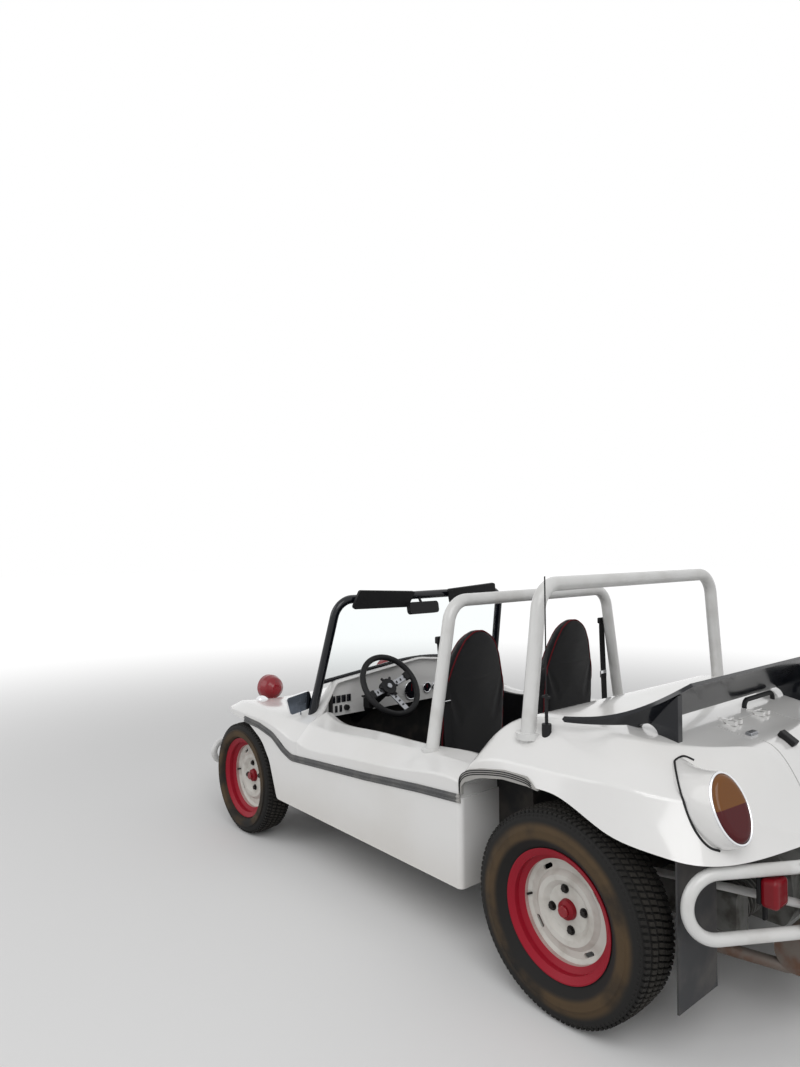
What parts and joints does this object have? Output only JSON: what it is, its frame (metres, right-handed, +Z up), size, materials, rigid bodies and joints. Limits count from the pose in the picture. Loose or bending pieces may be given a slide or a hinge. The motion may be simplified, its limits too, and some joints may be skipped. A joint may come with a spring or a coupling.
{
  "type": "dune buggy",
  "caption": "Open dune buggy with a moulded white body, roll hoops, red and silver steel wheels and a rear wing",
  "frame": {"origin": "on the ground under the middle of the car's length and width", "axes": "+X forward, +Y to the left side of the car, +Z up"},
  "size_m": [3.404, 1.653, 1.424],
  "materials": {
    "white_gelcoat": "glossy white moulded shell",
    "white_tube": "gloss white coated tube",
    "red_paint": "gloss red paint",
    "silver_paint": "satin silver wheel paint",
    "black_steel": "black chassis paint",
    "black_gloss": "polished black moulding",
    "black_plastic": "matt black plastic",
    "dark_rubber": "dark grey rubber",
    "tyre": "dusty tyre rubber",
    "chrome": "bright plating",
    "cloth": "black seat cloth",
    "webbing": "black belt webbing",
    "glass": "clear laminated glass",
    "lens": "coloured and clear lamp lens",
    "alloy": "grey cast engine metal",
    "exhaust_steel": "heat stained steel"
  },
  "bodies": {
    "chassis": {"front_body": "white_gelcoat", "rear_body": "white_gelcoat", "body_sides": "white_gelcoat", "side_panels": "white_gelcoat", "floor_frame": "black_steel", "rear_bulkhead": "black_steel", "footwell": "black_steel", "dash_panel": "white_gelcoat", "roll_hoop_rear": "white_tube", "roll_hoop_front": "white_tube", "windscreen_frame": "black_gloss", "windscreen_glass": "glass", "header_fittings": "black_plastic", "side_mirrors": "chrome", "front_indicators": "chrome", "headlamp_pods": "red_paint", "lamp_lenses": "lens", "front_seats": "cloth", "rear_bench": "cloth", "seat_belts": "webbing", "steering_column": "black_plastic", "rear_axle": "black_steel", "front_axle": "black_steel", "engine_block": "alloy", "exhaust": "exhaust_steel", "rear_bumper": "white_tube", "front_bumper": "white_tube", "rear_wing": "black_gloss", "grab_handle": "black_plastic", "antenna": "black_plastic", "mud_flaps": "dark_rubber", "floor_controls": "black_plastic", "side_mouldings": "dark_rubber"},
    "engine_lid": {"engine_lid": "white_gelcoat"},
    "steering_wheel": {"steering_wheel": "black_plastic"},
    "knuckle_left": {"knuckle_left": "black_steel"},
    "knuckle_right": {"knuckle_right": "black_steel"},
    "wheel_rear_left": {"wheel_rear_left": "silver_paint", "tyre_rear_left": "tyre"},
    "wheel_rear_right": {"wheel_rear_right": "silver_paint", "tyre_rear_right": "tyre"},
    "wheel_front_left": {"wheel_front_left": "silver_paint", "tyre_front_left": "tyre"},
    "wheel_front_right": {"wheel_front_right": "silver_paint", "tyre_front_right": "tyre"}
  },
  "joints": [
    {"name": "steer_left", "type": "hinge", "parent": "chassis", "child": "knuckle_left", "pos_m": [1.043, 0.615, 0.29], "axis": [0, 0, 1], "range_deg": [-28, 28]},
    {"name": "steer_right", "type": "hinge", "parent": "chassis", "child": "knuckle_right", "pos_m": [1.043, -0.615, 0.29], "axis": [0, 0, 1], "range_deg": [-28, 28]},
    {"name": "steering_wheel_turn", "type": "hinge", "parent": "chassis", "child": "steering_wheel", "pos_m": [0.343, 0.34, 0.826], "axis": [-0.809, 0, 0.5878], "range_deg": [-380, 380]},
    {"name": "engine_lid_hinge", "type": "hinge", "parent": "chassis", "child": "engine_lid", "pos_m": [-1.3, 0, 0.9], "axis": [0, 1, 0], "range_deg": [0, 50]},
    {"name": "spin_rear_left", "type": "hinge", "parent": "chassis", "child": "wheel_rear_left", "pos_m": [-1.057, 0.725, 0.335], "axis": [0, 1, 0], "continuous": true},
    {"name": "spin_rear_right", "type": "hinge", "parent": "chassis", "child": "wheel_rear_right", "pos_m": [-1.057, -0.725, 0.335], "axis": [0, 1, 0], "continuous": true},
    {"name": "spin_front_left", "type": "hinge", "parent": "knuckle_left", "child": "wheel_front_left", "pos_m": [1.043, 0.725, 0.29], "axis": [0, 1, 0], "continuous": true},
    {"name": "spin_front_right", "type": "hinge", "parent": "knuckle_right", "child": "wheel_front_right", "pos_m": [1.043, -0.725, 0.29], "axis": [0, 1, 0], "continuous": true}
  ],
  "couplings": [
    {"joint": "steer_right", "follows": "steer_left", "ratio": 1},
    {"joint": "steering_wheel_turn", "follows": "steer_left", "ratio": 13.5}
  ]
}
